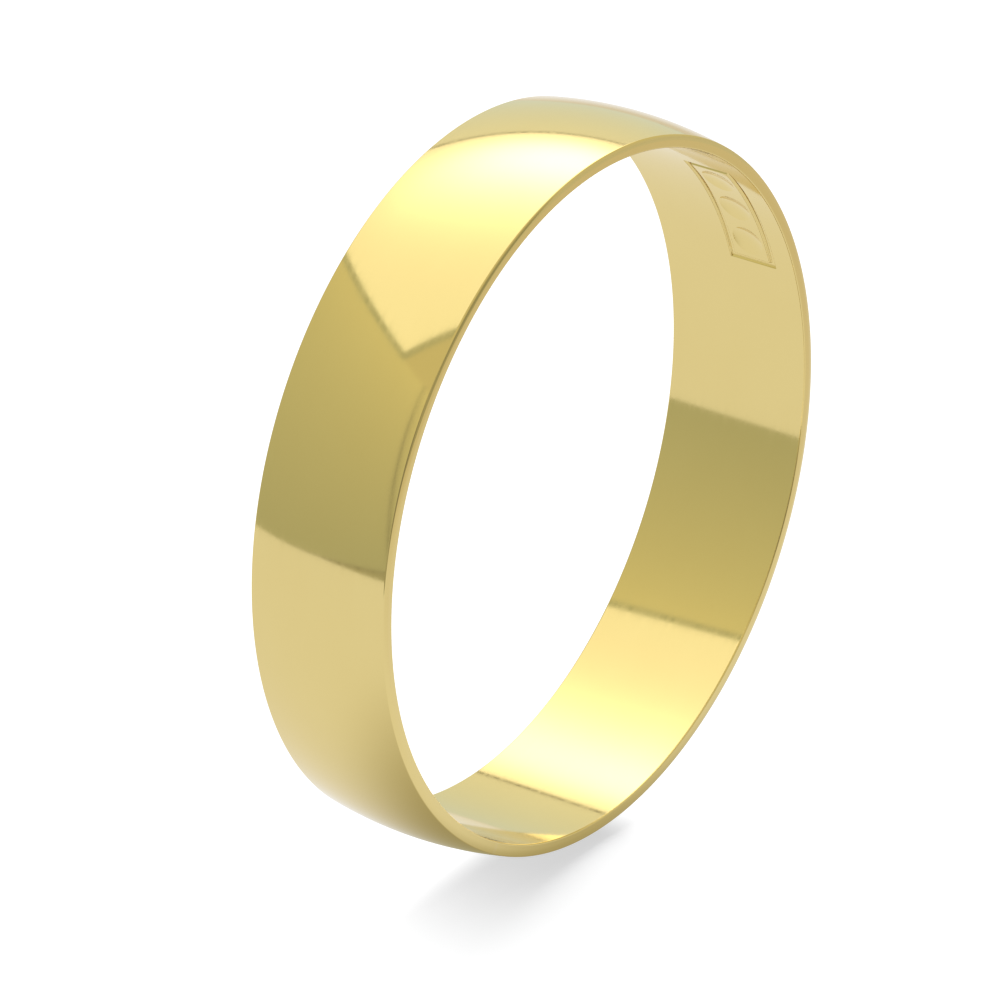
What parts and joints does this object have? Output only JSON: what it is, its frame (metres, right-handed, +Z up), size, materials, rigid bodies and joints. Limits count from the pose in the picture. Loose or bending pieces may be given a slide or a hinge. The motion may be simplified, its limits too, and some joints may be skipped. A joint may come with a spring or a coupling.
{
  "type": "wedding band",
  "caption": "Plain polished D-section finger ring: flat inside, low dome outside, thin flat rims, small incised stamp panel in the bore.",
  "frame": {"origin": "centre of the finger bore, half way along the band's width", "axes": "+Y along the finger bore, +Z up, with the band standing on its crown"},
  "size_m": [0.0186, 0.004, 0.0186],
  "materials": {
    "yellow_gold": null,
    "gold_solder": null
  },
  "bodies": {
    "root": {"band": "yellow_gold", "solder_seam": "gold_solder"}
  },
  "joints": []
}
